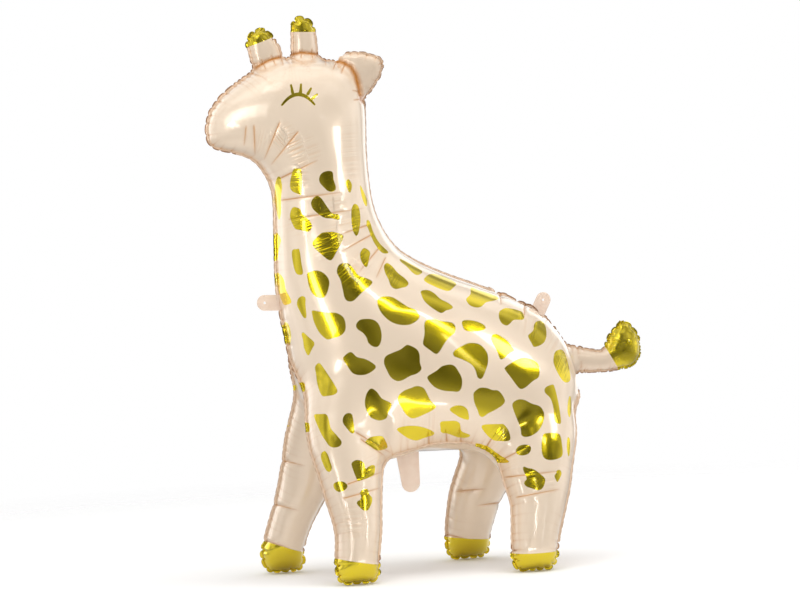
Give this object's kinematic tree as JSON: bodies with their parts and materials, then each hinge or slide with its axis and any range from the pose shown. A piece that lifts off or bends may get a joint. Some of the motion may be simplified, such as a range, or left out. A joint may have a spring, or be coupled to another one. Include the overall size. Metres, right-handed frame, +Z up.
{
  "type": "giraffe foil balloon",
  "caption": "Standing inflated foil balloon shaped as a giraffe, with splayed legs, horns, a folded ear, a tufted tail, a filling valve and hanging tabs.",
  "frame": {"origin": "on the floor under the middle of the balloon's bounding box", "axes": "+Z up, the head towards -X, the giraffe's left side towards -Y"},
  "size_m": [0.7894, 0.35, 1],
  "materials": {
    "pearl_film": "metallised polyester film printed pearl cream, with mirror gold coat marks, hooves, horn tips and tail tuft",
    "plain_film": "unprinted milky polyester film, slightly see-through"
  },
  "bodies": {
    "root": {"balloon_body": "pearl_film", "filling_valve": "plain_film", "chest_tab": "plain_film", "rump_tab": "plain_film"}
  },
  "joints": []
}
